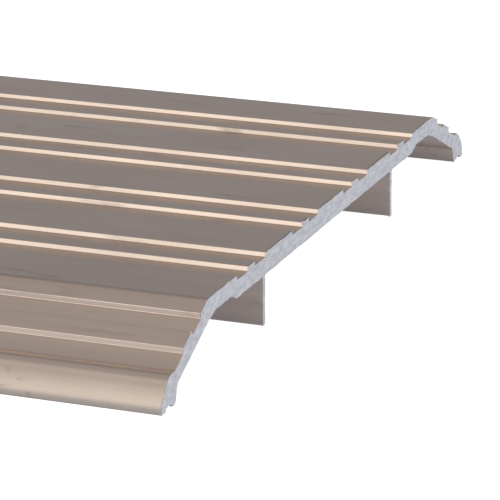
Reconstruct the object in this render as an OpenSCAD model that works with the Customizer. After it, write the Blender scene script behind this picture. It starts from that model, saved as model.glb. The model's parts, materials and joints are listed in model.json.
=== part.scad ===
// Fluted saddle threshold strip: one aluminium extrusion with two ramped edges, serrated feet and two
// supporting legs, fixed through countersunk holes by eight flat head screws.
// Millimetres. X runs along the doorway, Y across it and Z up. The origin is on the floor plane, under
// the middle of the strip.

/* [Strip] */
// Length along the doorway
strip_l = 914.4; // [700:0.1:2000]
// Width across the doorway, foot to foot
strip_w = 152.4; // [146:0.1:165]
// Height of the top face above the floor
strip_h = 12.7; // [12:0.1:16]
// Thickness of the plate between the two underside steps
plate_t = 3.8; // [3:0.1:4.5]
// Thickness of the plate over the relief beside each ramp
relief_t = 2.8; // [2.2:0.1:3]
// Distance from the strip's edge to the sloping step in the underside
relief_y = 29.2; // [28.5:0.1:31]

/* [Ramps] */
// Distance from the strip's edge to the bend at the top of the ramp
ramp_w = 19.2; // [18:0.1:22]
// Slope of the ramp in degrees
ramp_deg = 25; // [20:0.5:27]
// Vertical thickness of the ramp
ramp_t = 3.8; // [3:0.1:4.2]
// Width of the land between the bend and the first ramp groove
ramp_land_w = 3; // [2:0.1:3.5]
// Width of each ramp groove
ramp_groove_w = 3.6; // [3:0.1:4]
// Width of the rib between the two ramp grooves
ramp_rib_w = 3.6; // [3:0.1:4]
// Depth of each ramp groove, measured straight down
ramp_groove_d = 0.85; // [0.4:0.05:1.2]
// How far a ramp groove's wall leans back between its floor and its rim
ramp_draft = 0.05; // [0:0.05:0.3]
// Height at which the rounded nose starts to lean back over the foot
nose_h = 1.4; // [1.2:0.1:1.8]

/* [Flutes] */
// Distance from one pair of grooves to the next
flute_pitch = 25.4; // [22:0.1:26]
// Number of pairs of grooves across the flat top
flute_pairs = 4; // [2:1:4]
// Width of the rib between the two grooves of a pair
rib_w = 3.2; // [2.5:0.1:5]
// Width of each groove
groove_w = 4.75; // [3:0.05:5]
// Depth of each groove
groove_d = 0.75; // [0.3:0.05:1]
// How far a flute's wall leans back between its floor and its rim
groove_draft = 0.3; // [0:0.05:0.5]

/* [Legs] */
// Distance from the strip's middle to the middle of each leg
leg_y = 32.4; // [25:0.1:40]
// Thickness of each leg
leg_t = 1.1; // [0.8:0.1:2]
// Gap between the end of a leg and the floor
leg_gap = 0.35; // [0.1:0.05:1]

/* [Screws] */
// Distance between neighbouring screws of a row
screw_pitch = 228.6; // [120:0.1:300]
// Distance between the two rows of screws
row_spacing = 101.6; // [95:0.1:105]
// Length of a screw, from the top of its head to its point
screw_l = 38.1; // [35:0.1:50]
// Length of a screw's thread, up from its point
thread_l = 25.4; // [20:0.1:26]
// Radius over the thread of a screw
thread_r = 2.4; // [2.2:0.05:2.5]
// Radius of the plain shank between the thread and the head
shank_r = 2.1; // [1.8:0.05:2.15]
// Radius of a screw's flat head
head_r = 4.7; // [4:0.05:5]
// Included angle under the head, in degrees
head_deg = 82; // [80:1:90]
// Radius of the clearance hole through the plate
hole_r = 2.75; // [2.6:0.05:3]
// Gap left round the head in its countersink
head_gap = 0.12; // [0.05:0.01:0.3]

/* [Hidden] */
ROWS = ["front", "rear"];
screws_per_row = 4;
function screw_name(row, i) = str("screw_", row, "_", i);

round_fn = 64;
through = 1;

// Radii of the extrusion's corners
die_r = 0.2;
root_r = 0.4;
bend_r = 1.2;
crown_r = 3.2;
shortest_flat = 0.3;

// The ramp's face and underside, as heights at a distance y from the strip's edge
ramp_rise = tan(ramp_deg);
function ramp_z(y) = strip_h - (ramp_w - y) * ramp_rise;
function ramp_floor_z(y) = ramp_z(y) - ramp_groove_d;
function ramp_under_z(y) = ramp_z(y) - ramp_t;

// Edges of the ramp's two grooves, from the bend down to the nose
upper_groove_top = ramp_w - ramp_land_w;
upper_groove_end = upper_groove_top - ramp_groove_w;
lower_groove_top = upper_groove_end - ramp_rib_w;
nose_y = lower_groove_top - ramp_groove_w;

// The rounded nose, from its upright edge over its cheek and brow to its crest beside the lower groove
nose_r = 3;
brow_y = 2.9;
brow_r = 2.5;
cheek_y = 0.4 * brow_y;
cheek_z = nose_h + 0.53 * (ramp_z(brow_y) - nose_h);
cheek_r = 8;
crest_y = nose_y - 1.5;
crest_drop = 0.08;

// The foot under the nose: its inner side, its outer toe, and the teeth in its sole between them
foot_w = 6.4;
foot_r = 1.6;
foot_chamfer = 0.6;
toe_w = 1.6;
heel_w = 0.6;
tooth_h = 0.55;
tooth_w = 0.7;

plate_z = strip_h - plate_t;
relief_z = strip_h - relief_t;
relief_run = 2.4;
haunch_w = 3;
leg_inner_y = strip_w / 2 - leg_y + leg_t / 2;
leg_outer_y = strip_w / 2 - leg_y - leg_t / 2;

// The top outline of one half, from the toe of the foot to the last groove before the middle, as
// [distance from the edge, height, corner radius].
function foot_and_nose() = [
    [0, 0, die_r],
    [0, nose_h, nose_r],
    [cheek_y, cheek_z, cheek_r],
    [brow_y, ramp_z(brow_y), brow_r],
    [crest_y, ramp_z(crest_y) - crest_drop, bend_r],
    [nose_y, ramp_floor_z(nose_y), bend_r]
];

// The wall on the upper side of a ramp groove, from its floor to its rim
function ramp_wall(y) = [
    [y - ramp_draft / 2, ramp_floor_z(y - ramp_draft / 2), die_r],
    [y + ramp_draft / 2, ramp_z(y + ramp_draft / 2), die_r]
];

// One groove cut into the ramp between two distances from the strip's edge, lower side first
function ramp_groove(low_y, high_y) = concat(
    [
        [low_y - ramp_draft / 2, ramp_z(low_y - ramp_draft / 2), die_r],
        [low_y + ramp_draft / 2, ramp_floor_z(low_y + ramp_draft / 2), die_r]
    ],
    ramp_wall(high_y)
);

// One groove in the flat top between two distances from the strip's edge
function flat_groove(start_y, end_y) = [
    [start_y - groove_draft / 2, strip_h, die_r],
    [start_y + groove_draft / 2, strip_h - groove_d, die_r],
    [end_y - groove_draft / 2, strip_h - groove_d, die_r],
    [end_y + groove_draft / 2, strip_h, die_r]
];

// The two grooves either side of a rib in the flat top
function flute_pair(rib_y) = concat(
    flat_groove(rib_y - rib_w / 2 - groove_w, rib_y - rib_w / 2),
    flat_groove(rib_y + rib_w / 2, rib_y + rib_w / 2 + groove_w)
);

function half_top() = concat(
    foot_and_nose(),
    ramp_wall(lower_groove_top),
    ramp_groove(upper_groove_end, upper_groove_top),
    [[ramp_w, strip_h, crown_r]]
);

function flutes() = [
    for (i = [0 : flute_pairs - 1])
        each flute_pair(strip_w / 2 + (i - (flute_pairs - 1) / 2) * flute_pitch)
];

// The underside of one half, from the leg out to the toothed sole of the foot
function half_underside() = [
    [leg_inner_y, plate_z, root_r],
    [leg_inner_y, leg_gap, die_r],
    [leg_outer_y, leg_gap, die_r],
    [leg_outer_y, plate_z, root_r],
    [relief_y + relief_run, plate_z, bend_r],
    [relief_y, relief_z, bend_r],
    [ramp_w + haunch_w, relief_z, bend_r],
    [ramp_w, ramp_under_z(ramp_w), bend_r],
    [foot_w, ramp_under_z(foot_w), foot_r],
    [foot_w - foot_chamfer, foot_chamfer, die_r],
    [foot_w - 2 * foot_chamfer, 0, die_r],
    [foot_w - 2 * foot_chamfer - heel_w, 0, die_r],
    [foot_w - 2 * foot_chamfer - heel_w - tooth_w / 2, tooth_h, die_r],
    [foot_w - 2 * foot_chamfer - heel_w - tooth_w, tooth_h / 2, die_r],
    [foot_w - 2 * foot_chamfer - heel_w - 1.5 * tooth_w, tooth_h, die_r],
    [toe_w + tooth_w / 2, tooth_h, die_r],
    [toe_w, 0, die_r]
];

function mirrored(points) = [
    for (i = [len(points) - 1 : -1 : 0]) [strip_w - points[i][0], points[i][1], points[i][2]]
];

function outline() = concat(half_top(), flutes(), mirrored(half_top()), mirrored(half_underside()), half_underside());

// The corner at b between a and c, rounded with a radius r in flats no shorter than shortest_flat
function flat_point(p) = [p[0], p[1]];
function along(from, to) = (to - from) / norm(to - from);
function corner_arc(a, b, c, r) =
    let (
        back = along(b, a),
        ahead = along(b, c),
        half_angle = acos(back * ahead) / 2,
        run = r / tan(half_angle),
        centre = b + along([0, 0], back + ahead) * r / sin(half_angle),
        start = b + back * run - centre,
        end = b + ahead * run - centre,
        start_deg = atan2(start.y, start.x),
        turn = (atan2(end.y, end.x) - start_deg + 540) % 360 - 180,
        steps = floor(r * abs(turn) * PI / 180 / shortest_flat)
    )
    steps == 0 ? [b] : [
        for (i = [0 : steps])
            let (deg = start_deg + turn * i / steps)
            centre + r * [cos(deg), sin(deg)]
    ];

function rounded(points) = [
    for (i = [0 : len(points) - 1])
        let (last = len(points) - 1)
        each corner_arc(
            flat_point(points[i == 0 ? last : i - 1]),
            flat_point(points[i]),
            flat_point(points[i == last ? 0 : i + 1]),
            points[i][2]
        )
];

module section() {
    translate([-strip_w / 2, 0])
        polygon(rounded(outline()));
}

// Places its children where screw i of a row stands, with z = 0 on the top face
module at_screw(row, i) {
    side = row == "front" ? -1 : 1;
    translate([(i - (screws_per_row + 1) / 2) * screw_pitch, side * row_spacing / 2, strip_h])
        children();
}

// The screw's head, recess and point
head_rim = 0.2;
head_depth = (head_r - shank_r) / tan(head_deg / 2);
recess_r = 2.5;
recess_depth = 2;
point_l = 7;
point_r = 0.3;

// The countersunk hole for one screw. Its cone runs parallel to the head's, head_gap away from it.
module screw_hole() {
    flare = tan(head_deg / 2);
    mouth_r = head_r + head_gap / cos(head_deg / 2) + head_rim * flare;
    seat_depth = (mouth_r - hole_r) / flare;
    translate([0, 0, -strip_h])
        cylinder(h = strip_h + through, r = hole_r, $fn = round_fn);
    translate([0, 0, -seat_depth])
        cylinder(h = seat_depth + through, r1 = hole_r, r2 = mouth_r + flare * through, $fn = round_fn);
}

module threshold_extrusion() {
    color("#9b8f87")
        difference() {
            rotate([90, 0, 90])
                linear_extrude(height = strip_l, center = true)
                    section();
            for (row = ROWS)
                for (i = [1 : screws_per_row])
                    at_screw(row, i)
                        screw_hole();
        }
}

// The cross-shaped driver recess, cut down into the head from z = 0
module recess() {
    bar_w = 1.15;
    intersection() {
        union() {
            cube([2 * recess_r, bar_w, 2 * recess_depth], center = true);
            cube([bar_w, 2 * recess_r, 2 * recess_depth], center = true);
        }
        translate([0, 0, -recess_depth])
            cylinder(h = recess_depth + through, r1 = bar_w / 2, r2 = recess_r * 1.5, $fn = round_fn);
    }
}

// A flat head screw with a gimlet point
module screw() {
    difference() {
        union() {
            translate([0, 0, -head_rim])
                cylinder(h = head_rim, r = head_r, $fn = round_fn);
            translate([0, 0, -head_rim - head_depth])
                cylinder(h = head_depth, r1 = shank_r, r2 = head_r, $fn = round_fn);
            translate([0, 0, -screw_l + thread_l])
                cylinder(h = screw_l - thread_l - head_rim, r = shank_r, $fn = round_fn);
            translate([0, 0, -screw_l + point_l])
                cylinder(h = thread_l - point_l, r = thread_r, $fn = round_fn);
            translate([0, 0, -screw_l])
                cylinder(h = point_l, r1 = point_r, r2 = thread_r, $fn = round_fn);
        }
        recess();
    }
}

threshold_extrusion();
for (row = ROWS)
    for (i = [1 : screws_per_row])
        at_screw(row, i)
                color("#b9b6b2")
                    screw();
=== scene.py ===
"""The threshold strip's looks: a champagne anodised extrusion with sawn ends, and its stainless screws."""

import json
import math

import bmesh
import bpy
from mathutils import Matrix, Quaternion, Vector, noise

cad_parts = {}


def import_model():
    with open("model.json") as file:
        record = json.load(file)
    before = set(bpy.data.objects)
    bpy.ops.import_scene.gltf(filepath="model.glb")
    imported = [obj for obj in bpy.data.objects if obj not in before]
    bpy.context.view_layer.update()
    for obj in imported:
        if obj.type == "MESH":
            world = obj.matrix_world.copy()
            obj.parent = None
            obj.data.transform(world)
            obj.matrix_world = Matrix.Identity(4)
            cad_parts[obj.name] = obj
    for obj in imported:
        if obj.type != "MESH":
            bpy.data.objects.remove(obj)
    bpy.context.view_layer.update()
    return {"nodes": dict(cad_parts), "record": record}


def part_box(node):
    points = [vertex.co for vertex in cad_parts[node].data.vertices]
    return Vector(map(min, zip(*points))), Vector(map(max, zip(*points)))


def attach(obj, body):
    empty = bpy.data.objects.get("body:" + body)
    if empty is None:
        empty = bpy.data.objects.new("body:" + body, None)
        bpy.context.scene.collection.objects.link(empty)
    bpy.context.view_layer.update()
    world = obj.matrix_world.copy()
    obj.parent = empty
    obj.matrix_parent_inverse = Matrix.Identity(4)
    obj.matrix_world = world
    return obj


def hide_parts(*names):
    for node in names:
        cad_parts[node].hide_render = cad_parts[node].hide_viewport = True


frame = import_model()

MM = 0.001
STRIP_NODE = "threshold_extrusion"
SCREW_NODES = sorted(name for name in frame["nodes"] if name.startswith("screw_"))
BODY_OF = {node: body for body, nodes in frame["record"]["behaviour"]["bodies"].items() for node in nodes}
strip_lo, strip_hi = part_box(STRIP_NODE)


def head_middle(node):
    """The middle of a screw's head, on the strip's top face."""
    low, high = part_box(node)
    return Vector(((low.x + high.x) / 2, (low.y + high.y) / 2, high.z))


HEADS = {node: head_middle(node) for node in SCREW_NODES}


# ---------------------------------------------------------------- node materials

# Places of the colour sockets on a Mix node, which has others for plain numbers and vectors
MIX_A, MIX_B, MIX_RESULT = 6, 7, 2
WHITE = (1, 1, 1, 1)


class Shader:
    """A material's node tree, with short calls to add nodes and link them."""

    def __init__(self, name):
        self.material = bpy.data.materials.new(name)
        self.material.use_nodes = True
        self.nodes = self.material.node_tree.nodes
        self.links = self.material.node_tree.links
        self.nodes.clear()
        self.output = self.nodes.new("ShaderNodeOutputMaterial")
        self.position = self.nodes.new("ShaderNodeTexCoord").outputs["Object"]

    def join(self, value, socket):
        """Feeds a socket from another socket, or sets it to a plain value."""
        if isinstance(value, bpy.types.NodeSocket):
            self.links.new(value, socket)
        else:
            socket.default_value = value

    def add(self, kind, inputs=None, **settings):
        """A new node of one kind, with its settings made and its inputs joined."""
        node = self.nodes.new(kind)
        for key, value in settings.items():
            setattr(node, key, value)
        for key, value in (inputs or {}).items():
            self.join(value, node.inputs[key])
        return node

    def stretched(self, along, across):
        """Object coordinates scaled so that a pattern runs along the strip."""
        inputs = {"Vector": self.position, "Scale": (along, across, across)}
        return self.add("ShaderNodeMapping", inputs).outputs["Vector"]

    def noise(self, vector, scale=1.0, detail=4.0, roughness=0.5, distortion=0.0):
        inputs = {"Vector": vector, "Scale": scale, "Detail": detail, "Roughness": roughness,
                  "Distortion": distortion}
        return self.add("ShaderNodeTexNoise", inputs).outputs["Fac"]

    def remap(self, value, low, high, to_low, to_high):
        inputs = {"Value": value, "From Min": low, "From Max": high, "To Min": to_low, "To Max": to_high}
        return self.add("ShaderNodeMapRange", inputs).outputs["Result"]

    def spread(self, pattern, to_low, to_high):
        """A noise pattern's usual range, 0.3 to 0.7, brought to the range given."""
        return self.remap(pattern, 0.3, 0.7, to_low, to_high)

    def math(self, operation, a, b):
        return self.add("ShaderNodeMath", {0: a, 1: b}, operation=operation).outputs["Value"]

    def mix(self, factor, a, b):
        inputs = {"Factor": factor, MIX_A: a, MIX_B: b}
        return self.add("ShaderNodeMix", inputs, data_type="RGBA").outputs[MIX_RESULT]

    def bump(self, height, distance, strength=1.0, under=None):
        inputs = {"Height": height, "Distance": distance, "Strength": strength}
        if under is not None:
            inputs["Normal"] = under
        return self.add("ShaderNodeBump", inputs).outputs["Normal"]

    def surface(self, kind, inputs):
        """Gives the material its surface shader and returns the material."""
        shader = self.add(kind, inputs)
        self.links.new(shader.outputs[0], self.output.inputs["Surface"])
        return self.material

    def metal(self, tint, rough, normal, metallic=1.0):
        inputs = {"Base Color": tint, "Metallic": metallic, "Roughness": rough, "Normal": normal}
        return self.surface("ShaderNodeBsdfPrincipled", inputs)


# Heights above the floor, going down: where the noses' scuffing starts, where it is full, and where the
# painted shade along the bottom edge starts
SCUFF_TOP = 5.6 * MM
SCUFF_FULL = 4.2 * MM
PAINTED_SHADE_TOP = 2.4 * MM

# Each metal's tint varies between two; wear and dirt have their own tints, and so does the painted shade
# along the bottom edge
CHAMPAGNE = (0.61, 0.505, 0.43, 1), (0.69, 0.58, 0.50, 1)
SMUDGE_TINT = (0.42, 0.36, 0.32, 1)
SCUFF_TINT = (0.56, 0.475, 0.405, 1)
# Painted shade: the dark tint that the strip's bottom edge by the floor fades towards
PAINTED_SHADE_TINT = (0.30, 0.28, 0.27, 1)
SPECK_TINT = (0.25, 0.22, 0.20, 1)
BARE_ALUMINIUM = (0.69, 0.69, 0.712, 1), (0.93, 0.93, 0.94, 1)
PIT_TINT = (0.34, 0.35, 0.38, 1)
TURNED_ALUMINIUM = (0.72, 0.72, 0.73, 1), (0.85, 0.85, 0.86, 1)
STAINLESS = (0.56, 0.55, 0.53, 1), (0.70, 0.69, 0.67, 1)


def anodised():
    """Satin champagne anodising over die lines that run the length of the strip, worn on the noses, with
    painted shade darkening its bottom edge by the floor.
    """
    s = Shader("champagne_anodised")
    fine_lines = s.noise(s.stretched(3, 2600), detail=3)
    broad_lines = s.noise(s.stretched(6, 420), detail=4, roughness=0.6)
    cloud = s.noise(s.stretched(40, 90), detail=3)
    smudge = s.remap(s.noise(s.stretched(60, 260), detail=5, distortion=0.6), 0.62, 0.72, 0, 1)
    height = s.add("ShaderNodeSeparateXYZ", {0: s.position}).outputs["Z"]
    scuffed = s.remap(height, SCUFF_TOP, SCUFF_FULL, 0, 1)
    # Painted shade: the strip gets darker over its lowest few millimetres, towards the floor
    painted_shade = s.remap(height, PAINTED_SHADE_TOP, 0, 0, 0.45)
    specks = s.remap(s.noise(s.stretched(380, 800), detail=3, roughness=0.6), 0.6, 0.7, 0, 1)
    patches = s.remap(s.noise(s.stretched(45, 120), detail=2), 0.45, 0.6, 0, 0.6)
    specks = s.math("MULTIPLY", specks, s.math("MULTIPLY", patches, scuffed))

    tint = s.mix(s.spread(broad_lines, 0, 1), *CHAMPAGNE)
    tint = s.mix(s.math("MULTIPLY", smudge, 0.3), tint, SMUDGE_TINT)
    tint = s.mix(s.math("MULTIPLY", scuffed, 0.75), tint, SCUFF_TINT)
    # Painted shade along the bottom edge by the floor
    tint = s.mix(painted_shade, tint, PAINTED_SHADE_TINT)
    tint = s.mix(specks, tint, SPECK_TINT)

    rough = s.math("ADD", s.spread(broad_lines, 0.26, 0.36), s.spread(cloud, -0.03, 0.05))
    rough = s.math("ADD", rough, s.math("MULTIPLY", smudge, 0.12))
    rough = s.math("ADD", rough, s.math("MULTIPLY", scuffed, 0.1))

    normal = s.bump(fine_lines, 0.004 * MM, 0.6)
    return s.metal(tint, rough, s.bump(broad_lines, 0.02 * MM, 0.5, normal))


def sawn():
    """Bare aluminium torn by a saw: mottled, pale and rough."""
    s = Shader("sawn_aluminium")
    tilted = s.add("ShaderNodeMapping", {"Vector": s.position, "Rotation": (0.5, 0, 0), "Scale": (1, 0.4, 1)})
    grain = s.noise(s.position, scale=2200, detail=5, roughness=0.7)
    blotch = s.noise(tilted.outputs["Vector"], scale=1100, detail=5, roughness=0.65)
    tint = s.mix(s.remap(blotch, 0.34, 0.64, 0, 1), *BARE_ALUMINIUM)
    tint = s.mix(s.remap(grain, 0.3, 0.4, 0.5, 0), tint, PIT_TINT)
    return s.metal(tint, s.spread(grain, 0.45, 0.65), s.bump(grain, 0.1 * MM, 0.6), metallic=0.55)


def machined():
    """Bright aluminium turned by the countersink."""
    s = Shader("machined_aluminium")
    grain = s.noise(s.position, scale=1500, detail=2)
    tint = s.mix(grain, *TURNED_ALUMINIUM)
    return s.metal(tint, s.spread(grain, 0.2, 0.34), s.bump(grain, 0.01 * MM, 0.5))


def stainless():
    """Plain stainless steel with faint clouding and a fine grain."""
    s = Shader("stainless_steel")
    grain = s.noise(s.position, scale=1200, detail=4)
    cloud = s.noise(s.position, scale=300, detail=2)
    tint = s.mix(cloud, *STAINLESS)
    return s.metal(tint, s.spread(grain, 0.2, 0.36), s.bump(grain, 0.006 * MM, 0.6))


# ---------------------------------------------------------------- mesh tools

# How near to a cutting plane a point counts as being on it
ON_PLANE = 0.002 * MM
# The corners of a square two units wide, in order
CORNERS = [(-1, -1), (1, -1), (1, 1), (-1, 1)]


def finished(bm, name):
    """The mesh made of an edit mesh, which is then gone."""
    mesh = bpy.data.meshes.new(name)
    bm.to_mesh(mesh)
    bm.free()
    return mesh


def new_object(name, mesh, *materials):
    """An object in the scene, with its materials in the order given."""
    for material in materials:
        mesh.materials.append(material)
    obj = bpy.data.objects.new(name, mesh)
    bpy.context.scene.collection.objects.link(obj)
    return obj


def skinned(bm, rings, name):
    """The closed mesh over rings that all have the same number of points, listed from the bottom up."""
    sides = len(rings[0])
    for low, high in zip(rings, rings[1:]):
        for k in range(sides):
            bm.faces.new((low[k], low[k - sides + 1], high[k - sides + 1], high[k]))
    bm.faces.new(reversed(rings[0]))
    bm.faces.new(rings[-1])
    return finished(bm, name)


def turned(name, profile, sides=64):
    """A closed mesh turned round Z from (radius, height) pairs, listed from the bottom up."""
    bm = bmesh.new()
    angles = [2 * math.pi * k / sides for k in range(sides)]
    rings = [[bm.verts.new((radius * math.cos(a), radius * math.sin(a), height)) for a in angles]
             for radius, height in profile]
    return skinned(bm, rings, name)


def less(mesh, cutters):
    """The mesh with the cutter meshes, each given with its place, taken out of it."""
    body = new_object("cut_body", mesh)
    tools = []
    for cutter, place in cutters:
        tool = new_object("cut_tool", cutter)
        tool.location = place
        tools.append(tool)
        step = body.modifiers.new("cut", "BOOLEAN")
        step.operation = "DIFFERENCE"
        step.solver = "EXACT"
        step.object = tool
    bpy.context.view_layer.update()
    evaluated = body.evaluated_get(bpy.context.evaluated_depsgraph_get())
    result = bpy.data.meshes.new_from_object(evaluated)
    for obj in [body] + tools:
        bpy.data.objects.remove(obj)
    return result


def shade_by_angle(obj, degrees):
    """Smooth shading that keeps flat faces flat and stays sharp over the given angle."""
    obj.data.shade_smooth()
    obj.data.set_sharp_from_angle(angle=math.radians(degrees))
    weighted = obj.modifiers.new("weighted", "WEIGHTED_NORMAL")
    weighted.keep_sharp = True


# ---------------------------------------------------------------- the extrusion

# Its corners: their radius, the turn from which one is rounded, and the share of an edge that it may take
ARRIS_R = 0.16 * MM
SHARP_TURN = math.radians(30)
ARRIS_SHARE = 0.35
ARRIS_STEPS = 3

# Its countersunk holes, whose radius falls by HEAD_TAPER for each unit of depth, like the 82 degree heads
HOLE_R = 2.75 * MM
MOUTH_R = 5.03 * MM
MOUTH_CHAMFER = 0.12 * MM
MOUTH_MARGIN = 0.2 * MM
HEAD_TAPER = math.tan(math.radians(41))

# Its sawn ends: the grid that they are cut into, the depth of the tearing and the length that it bends
SAWN_GRID = 0.4 * MM
TEAR_DEPTH = 0.042 * MM
TORN_L = 0.3 * MM
# The rim's push sideways where its noise is above RIM_STILL, and the burrs, which stand on the corners that
# turn by more than BURR_TURN and only vanish where the noise is down to BURR_STILL
RIM_SPREAD = 0.11 * MM
RIM_STILL = 0.3
BURR_H = 0.24 * MM
BURR_STILL = -0.6
BURR_TURN = math.radians(9)
# The tearing's noise: its fineness for each metre, and where it is sampled along X, which sets the ends apart
FINE_TEARS, FINE_PLACE = 1400, 3
BROAD_TEARS, BROAD_PLACE = 260, 7
# The rim's noise is the fine one, coarser by this factor
RIM_TEARS = 0.7

# Parts of a normal along X from which a face belongs to an end, and under which it runs along the strip,
# and its part along Z from which it lies level
END_FACING = 0.99
SIDE_FACING = 0.5
LEVEL_FACING = 0.9
# Edges that turn by more than this stay sharp
SMOOTH_DEGREES = 35

# Places of its materials in its list
ANODISED, SAWN, MACHINED = range(3)


def cad_outline():
    """The outline of the CAD extrusion's +X end, in order, as (y, z) points."""
    mesh = frame["nodes"][STRIP_NODE].data
    edges = set()
    for polygon in mesh.polygons:
        if polygon.normal.x < END_FACING:
            continue
        ring = [tuple(round(c / MM, 4) for c in mesh.vertices[i].co.yz) for i in polygon.vertices]
        for a, b in zip(ring, ring[1:] + ring[:1]):
            if (b, a) in edges:
                edges.remove((b, a))
            else:
                edges.add((a, b))
    follow = dict(edges)
    start = min(follow)
    loop = [start]
    while follow[loop[-1]] != start:
        loop.append(follow[loop[-1]])
    return [Vector(p) * MM for p in loop]


def eased(loop):
    """The outline with its sharp corners rounded, as the die and the finish leave them."""
    out = []
    for i, here in enumerate(loop):
        back, ahead = loop[i - 1] - here, loop[(i + 1) % len(loop)] - here
        turn = math.pi - back.angle(ahead)
        if turn < SHARP_TURN:
            out.append(here)
            continue
        run = min(ARRIS_R * math.tan(turn / 2), ARRIS_SHARE * back.length, ARRIS_SHARE * ahead.length)
        start, end = here + back.normalized() * run, here + ahead.normalized() * run
        for k in range(ARRIS_STEPS + 1):
            t = k / ARRIS_STEPS
            out.append(start * (1 - t) ** 2 + here * (2 * t * (1 - t)) + end * t ** 2)
    return out


def drilled_extrusion():
    """The plain extrusion with its countersunk holes."""
    bm = bmesh.new()
    ring = [bm.verts.new((strip_lo.x, p.x, p.y)) for p in eased(cad_outline())]
    face = bm.faces.new(ring)
    out = bmesh.ops.extrude_face_region(bm, geom=[face], use_keep_orig=True)
    moved = [item for item in out["geom"] if isinstance(item, bmesh.types.BMVert)]
    bmesh.ops.translate(bm, verts=moved, vec=(strip_hi.x - strip_lo.x, 0, 0))
    bmesh.ops.recalc_face_normals(bm, faces=bm.faces[:])
    seat = (MOUTH_R - HOLE_R) / HEAD_TAPER
    profile = [(HOLE_R, -2 * strip_hi.z), (HOLE_R, -seat),
               (MOUTH_R - MOUTH_CHAMFER * HEAD_TAPER, -MOUTH_CHAMFER),
               (MOUTH_R + MOUTH_CHAMFER, MOUTH_CHAMFER), (MOUTH_R + MOUTH_CHAMFER, strip_hi.z)]
    cutters = [(turned("cutter", profile), head) for head in HEADS.values()]
    return less(finished(bm, "drilled"), cutters)


def grid_faces(bm, faces, axis, planes):
    """Cuts the faces by planes across one axis and returns what they became, a half at a time."""
    if not faces or not planes:
        return faces
    middle = len(planes) // 2
    normal = Vector((0, 0, 0))
    normal[axis] = 1
    geom = set(faces)
    for f in faces:
        geom.update(f.edges, f.verts)
    cut = bmesh.ops.bisect_plane(bm, geom=list(geom), plane_co=normal * planes[middle], plane_no=normal,
                                 dist=ON_PLANE)
    parts = [item for item in cut["geom"] if isinstance(item, bmesh.types.BMFace)]
    near = [f for f in parts if f.calc_center_median()[axis] < planes[middle]]
    far = [f for f in parts if f.calc_center_median()[axis] >= planes[middle]]
    return grid_faces(bm, near, axis, planes[:middle]) + grid_faces(bm, far, axis, planes[middle + 1:])


def side_faces(vert):
    """The long faces of the extrusion that meet at a point of its sawn rim."""
    return [f for f in vert.link_faces if abs(f.normal.x) < SIDE_FACING]


def is_arris(vert):
    """True where two side faces meet at an outward corner, which is where a saw leaves a burr."""
    sides = side_faces(vert)
    if len(sides) != 2:
        return False
    one, two = sides
    apart = two.calc_center_median() - one.calc_center_median()
    return one.normal.angle(two.normal) > BURR_TURN and apart.dot(two.normal - one.normal) > 0


def is_cap(face, end_x, outward):
    """True for the faces that close one end of the extrusion."""
    return face.normal.x * outward > END_FACING and abs(face.calc_center_median().x - end_x) < TORN_L / 2


def tear_end(bm, end_x, outward):
    """Gives one sawn end real roughness and a slightly ragged rim."""
    caps = [f for f in bm.faces if is_cap(f, end_x, outward)]
    for axis in (1, 2):
        span = strip_hi[axis] - strip_lo[axis]
        planes = [strip_lo[axis] + k * SAWN_GRID for k in range(1, int(span / SAWN_GRID) + 1)]
        caps = grid_faces(bm, caps, axis, planes)
    for f in caps:
        f.material_index = SAWN
    verts = {v for f in caps for v in f.verts}
    arrises = {v for v in verts if is_arris(v)}
    for v in verts:
        fine = Vector((outward * FINE_PLACE, v.co.y * FINE_TEARS, v.co.z * FINE_TEARS))
        broad = Vector((outward * BROAD_PLACE, v.co.y * BROAD_TEARS, v.co.z * BROAD_TEARS))
        v.co.x += outward * TEAR_DEPTH * (noise.noise(fine) + noise.noise(broad) - 1)
        sides = side_faces(v)
        if sides:
            sideways = sum((f.normal for f in sides), Vector()).normalized()
            rough = noise.noise(fine * RIM_TEARS)
            burr = BURR_H * (rough - BURR_STILL) if v in arrises else 0
            v.co += sideways * (RIM_SPREAD * (rough - RIM_STILL) + burr)


def is_hole_wall(face):
    """True for the cone and bore faces, which are steep and lie close round one screw's axis."""
    if abs(face.normal.z) > LEVEL_FACING:
        return False
    middle = face.calc_center_median()
    near = min(HEADS.values(), key=lambda head: (middle - head).xy.length)
    return all((v.co - near).xy.length < MOUTH_R + MOUTH_MARGIN for v in face.verts)


def extrusion():
    """The extrusion as one object: anodised all over, bare at its sawn ends and in its holes."""
    bm = bmesh.new()
    bm.from_mesh(drilled_extrusion())
    for f in bm.faces:
        f.material_index = MACHINED if is_hole_wall(f) else ANODISED
    everything = bm.verts[:] + bm.edges[:] + bm.faces[:]
    ends = ((strip_lo.x, -1), (strip_hi.x, 1))
    for end_x, outward in ends:
        cut = bmesh.ops.bisect_plane(bm, geom=everything, plane_co=(end_x - outward * TORN_L, 0, 0),
                                     plane_no=(1, 0, 0), dist=ON_PLANE)
        everything = cut["geom"]
    bm.normal_update()
    for end_x, outward in ends:
        tear_end(bm, end_x, outward)
    strip = new_object("strip", finished(bm, "strip"), anodised(), sawn(), machined())
    shade_by_angle(strip, SMOOTH_DEGREES)
    return strip


# ---------------------------------------------------------------- the screws

HEAD_RIM = 0.2 * MM
SHANK_R = 2.1 * MM
THREAD_L = 25.4 * MM
THREAD_PITCH = 1.95 * MM
CREST_R = 2.38 * MM
ROOT_R = 1.65 * MM
# The thread's ridge over one pitch: how steeply its flanks rise, and how much of that the flat root takes
RIDGE_SLOPE = 3.4
RIDGE_FOOT = 0.55
# The point: its length, its tip's radius, the power that its core grows by, and the ridge's share at the tip
POINT_L = 7 * MM
TIP_R = 0.25 * MM
POINT_POWER = 0.7
TIP_RIDGE = 0.25
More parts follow.
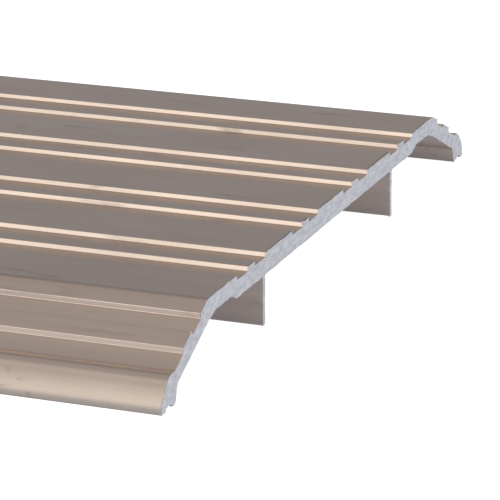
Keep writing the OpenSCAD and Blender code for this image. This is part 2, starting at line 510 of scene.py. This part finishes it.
# The cross recess: half the length over two opposite wings and half their width, on top and at the floor
RECESS_TOP = (2.5 * MM, 0.575 * MM)
RECESS_FLOOR = (0.75 * MM, 0.4025 * MM)
RECESS_DEPTH = 2 * MM
RECESS_RISE = 0.1 * MM
# The mesh: points round each ring, and rings down the head and along each pitch of the thread
SCREW_SIDES = 40
HEAD_RINGS = 6
PITCH_RINGS = 12


def screw_radius(angle, down, head_r, length):
    """The screw's radius at an angle and a distance down from the top of its head."""
    if down <= HEAD_RIM:
        return head_r
    head = head_r - (down - HEAD_RIM) * HEAD_TAPER
    plain_l = length - THREAD_L
    if down < plain_l:
        return max(head, SHANK_R)
    to_tip = min(1.0, (length - down) / POINT_L)
    run_in = min(1.0, (down - plain_l) / THREAD_PITCH)
    phase = (down / THREAD_PITCH - angle / (2 * math.pi)) % 1.0
    ridge = max(0.0, min(1.0, (0.5 - abs(phase - 0.5)) * RIDGE_SLOPE - RIDGE_FOOT))
    core = TIP_R + (ROOT_R - TIP_R) * to_tip ** POINT_POWER
    thread = core + ridge * (CREST_R - ROOT_R) * min(1.0, TIP_RIDGE + to_tip)
    return SHANK_R * (1 - run_in) + min(thread, CREST_R) * run_in


def recess_wings():
    """The cutter for two opposite wings of the cross recess, standing a little proud of the head."""
    bm = bmesh.new()
    levels = [(RECESS_FLOOR, -RECESS_DEPTH), (RECESS_TOP, RECESS_RISE)]
    rings = [[bm.verts.new((x * half_l, y * half_w, z)) for x, y in CORNERS]
             for (half_l, half_w), z in levels]
    return skinned(bm, rings, "recess_wings")


def ring_depths(head_r, length):
    """How far below the top of the head each ring of a screw lies, from the point up."""
    plain_l = length - THREAD_L
    thread_rings = int(THREAD_L / THREAD_PITCH * PITCH_RINGS)
    head_l = (head_r - SHANK_R) / HEAD_TAPER
    depths = [plain_l + THREAD_L * k / thread_rings for k in range(thread_rings, -1, -1)]
    depths += [HEAD_RIM + head_l * k / HEAD_RINGS for k in range(HEAD_RINGS, -1, -1)]
    return depths + [0]


def screw_mesh():
    """A screw with its axis on Z and the top of its head at the origin."""
    low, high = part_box(SCREW_NODES[0])
    head_r, length = (high.x - low.x) / 2, high.z - low.z
    bm = bmesh.new()
    rings = []
    for down in ring_depths(head_r, length):
        ring = []
        for k in range(SCREW_SIDES):
            angle = 2 * math.pi * k / SCREW_SIDES
            radius = screw_radius(angle, down, head_r, length)
            ring.append(bm.verts.new((radius * math.cos(angle), radius * math.sin(angle), -down)))
        rings.append(ring)
    wings = recess_wings()
    across = wings.copy()
    across.transform(Quaternion((0, 0, 1), math.pi / 2).to_matrix().to_4x4())
    return less(skinned(bm, rings, "screw"), [(wings, (0, 0, 0)), (across, (0, 0, 0))])


def screws():
    """Every screw, with the name of the node that it stands for."""
    mesh = screw_mesh()
    mesh.materials.append(stainless())
    made = []
    for node in SCREW_NODES:
        screw = new_object(node.replace("screw", "flat_head_screw"), mesh)
        screw.location = HEADS[node]
        made.append((screw, node))
    return made


# ---------------------------------------------------------------- floor, light and camera

# The point near the middle of the cut end that the camera and the lights look at
AIM = Vector((strip_hi.x - 9.1 * MM, strip_lo.y + 60.9 * MM, 7.15 * MM))

# The floor: half its side in metres, its paint, the glow it casts on the strip, and the glow that is seen
FLOOR_HALF = 20
FLOOR_PAINT = (0.85, 0.85, 0.85, 1)
CAST_GLOW, CAST_TINT = 0.25, (0.88, 0.98, 1.2, 1)
SEEN_GLOW = 0.93

# Each soft light's name, direction from the cut end, distance, side, radiance and tint
SOFT_LIGHTS = [
    ("front_low", (-0.34, -0.89, 0.27), 1.6, 1.0, 1.3, (1, 0.97, 0.92)),
    ("front_high", (-0.3, -0.68, 0.74), 1.6, 1.0, 0.75, (1, 0.97, 0.93)),
    ("side_fill", (0.9, -0.35, 0.35), 1.8, 1.2, 1.0, (0.93, 0.96, 1)),
]

# The studio's tint at level and below, and the height, brightness and tint of its bands from there up
SKY_LEVEL = (0.4, 0.4, 0.42, 1)
SKY_BANDS = [(0.35, 0.41, (0.98, 0.98, 1.05)), (0.43, 0.24, (1, 1, 1)), (0.6, 0.2, (1, 1, 1)),
             (0.76, 0.47, (1, 0.965, 0.97)), (1.0, 0.56, (1, 0.95, 0.94))]

CAMERA_AZIMUTH = math.radians(21.17)
CAMERA_ELEVATION = math.radians(17.84)
CAMERA_ROLL = math.radians(-0.28)
CAMERA_DISTANCE = 530 * MM
SENSOR_W_MM = 36
FOCAL_L_MM = 225.3


def floor():
    """A floor that the camera sees as white, that glows a little, and that is clear from below."""
    s = Shader("white_floor")
    bm = bmesh.new()
    bm.faces.new([bm.verts.new((x * FLOOR_HALF, y * FLOOR_HALF, 0)) for x, y in CORNERS])
    matt = s.add("ShaderNodeBsdfDiffuse", {"Color": FLOOR_PAINT})
    seen = s.nodes.new("ShaderNodeLightPath").outputs["Is Camera Ray"]
    glow = s.remap(seen, 0, 1, CAST_GLOW, SEEN_GLOW)
    tint = s.mix(seen, CAST_TINT, WHITE)
    lit = s.add("ShaderNodeEmission", {"Color": tint, "Strength": glow})
    pick = s.add("ShaderNodeAddShader", {0: matt.outputs[0], 1: lit.outputs[0]})
    below = s.nodes.new("ShaderNodeNewGeometry").outputs["Backfacing"]
    clear = s.nodes.new("ShaderNodeBsdfTransparent")
    s.surface("ShaderNodeMixShader", {0: below, 1: pick.outputs[0], 2: clear.outputs[0]})
    new_object("floor", finished(bm, "floor"), s.material)


def soft_light(name, towards, distance, size, radiance, tint):
    """A square soft light, in a direction from the cut end, that shines back at it."""
    light = bpy.data.lights.new(name, "AREA")
    light.shape = "SQUARE"
    light.size = size
    light.energy = radiance * math.pi * size ** 2
    light.color = tint
    obj = bpy.data.objects.new(name, light)
    bpy.context.scene.collection.objects.link(obj)
    direction = Vector(towards).normalized()
    obj.location = AIM + direction * distance
    obj.rotation_mode = "QUATERNION"
    obj.rotation_quaternion = direction.to_track_quat("Z", "Y")
    obj.visible_camera = False


def world():
    """A studio whose walls and ceiling change with height, and that the camera sees as plain white."""
    sky = bpy.data.worlds.new("studio")
    sky.use_nodes = True
    nodes, links = sky.node_tree.nodes, sky.node_tree.links
    background = nodes["Background"]
    background.inputs["Strength"].default_value = 1.0
    way = nodes.new("ShaderNodeTexCoord").outputs["Generated"]
    split = nodes.new("ShaderNodeSeparateXYZ")
    links.new(way, split.inputs[0])
    ramp = nodes.new("ShaderNodeValToRGB")
    stops = ramp.color_ramp.elements
    stops.remove(stops[1])
    stops[0].color = SKY_LEVEL
    for height, level, tint in SKY_BANDS:
        stops.new(height).color = [level * c for c in tint] + [1]
    links.new(split.outputs["Z"], ramp.inputs[0])
    seen = nodes.new("ShaderNodeLightPath").outputs["Is Camera Ray"]
    pick = nodes.new("ShaderNodeMix")
    pick.data_type = "RGBA"
    links.new(seen, pick.inputs[0])
    links.new(ramp.outputs[0], pick.inputs[MIX_A])
    pick.inputs[MIX_B].default_value = WHITE
    links.new(pick.outputs[MIX_RESULT], background.inputs["Color"])
    bpy.context.scene.world = sky


def camera():
    """The camera, a long lens at the front right that looks at the cut end."""
    lens = bpy.data.cameras.new("camera")
    lens.sensor_width = SENSOR_W_MM
    lens.lens = FOCAL_L_MM
    lens.clip_start = 0.01
    lens.clip_end = 100
    obj = bpy.data.objects.new("camera", lens)
    bpy.context.scene.collection.objects.link(obj)
    level = math.cos(CAMERA_ELEVATION)
    back = Vector((math.sin(CAMERA_AZIMUTH) * level, -math.cos(CAMERA_AZIMUTH) * level,
                   math.sin(CAMERA_ELEVATION)))
    obj.location = AIM + back * CAMERA_DISTANCE
    obj.rotation_mode = "QUATERNION"
    obj.rotation_quaternion = (-back).to_track_quat("-Z", "Y") @ Quaternion((0, 0, 1), CAMERA_ROLL)
    bpy.context.scene.camera = obj


strip = extrusion()
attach(strip, BODY_OF[STRIP_NODE])
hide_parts(STRIP_NODE)
for screw, node in screws():
    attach(screw, BODY_OF[node])
    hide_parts(node)

floor()
world()
camera()
for light in SOFT_LIGHTS:
    soft_light(*light)
bpy.context.scene.view_settings.view_transform = "Standard"
